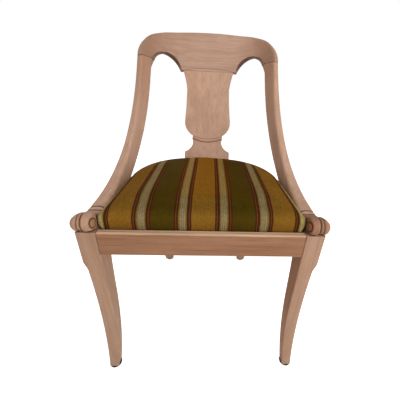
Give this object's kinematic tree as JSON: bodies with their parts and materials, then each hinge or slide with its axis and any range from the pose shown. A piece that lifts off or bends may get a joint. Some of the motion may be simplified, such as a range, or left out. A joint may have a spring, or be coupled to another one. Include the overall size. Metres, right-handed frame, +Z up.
{
  "type": "gondola chair",
  "caption": "Bare beech gondola side chair with a concave crest, urn splat, posts sweeping into carved arm scrolls, sabre legs and a striped velvet drop-in seat.",
  "frame": {"origin": "on the floor under the middle of the chair's bounding box", "axes": "+Z up, the chair faces -Y, +X is the sitter's left"},
  "size_m": [0.49, 0.5105, 0.8079],
  "materials": {
    "beech": "bare, fine straight grain, hand-sanded matt",
    "block_wood": "bare sawn matt",
    "dowel_wood": "bare matt",
    "seat_wood": "bare sawn matt",
    "screw_steel": "dull",
    "tack_steel": "blued",
    "glide_metal": "dark satin",
    "webbing": "woven jute",
    "hessian": "open jute weave",
    "padding": "fibre and wadding",
    "striped_velvet": "short cotton pile in front-to-back stripes",
    "dust_cloth": "thin black cotton"
  },
  "bodies": {
    "frame": {"crest_rail": "beech", "back_post_left": "beech", "back_post_right": "beech", "splat": "beech", "front_leg_left": "beech", "front_leg_right": "beech", "rear_leg_left": "beech", "rear_leg_right": "beech", "front_rail": "beech", "side_rail_left": "beech", "side_rail_right": "beech", "rear_rail": "beech", "corner_block_front_left": "block_wood", "corner_block_front_right": "block_wood", "corner_block_rear_left": "block_wood", "corner_block_rear_right": "block_wood", "seat_cleat_left": "block_wood", "seat_cleat_right": "block_wood", "crest_dowels": "dowel_wood", "arm_dowels": "dowel_wood", "front_rail_dowels": "dowel_wood", "side_rail_dowels": "dowel_wood", "rear_rail_dowels": "dowel_wood", "corner_block_screws": "screw_steel", "cleat_screws": "screw_steel", "glide_front_left": "glide_metal", "glide_front_right": "glide_metal", "glide_rear_left": "glide_metal", "glide_rear_right": "glide_metal"},
    "drop_in_seat": {"seat_frame_front": "seat_wood", "seat_frame_rear": "seat_wood", "seat_frame_left": "seat_wood", "seat_frame_right": "seat_wood", "seat_frame_dowels": "dowel_wood", "webbing_lengthwise": "webbing", "webbing_crosswise": "webbing", "hessian": "hessian", "seat_padding": "padding", "seat_cover": "striped_velvet", "dust_cover": "dust_cloth", "cover_tacks": "tack_steel"}
  },
  "joints": [
    {"name": "seat_lift", "type": "slide", "parent": "frame", "child": "drop_in_seat", "axis": [0, 0, 1], "range_m": [0, 0.42]}
  ]
}
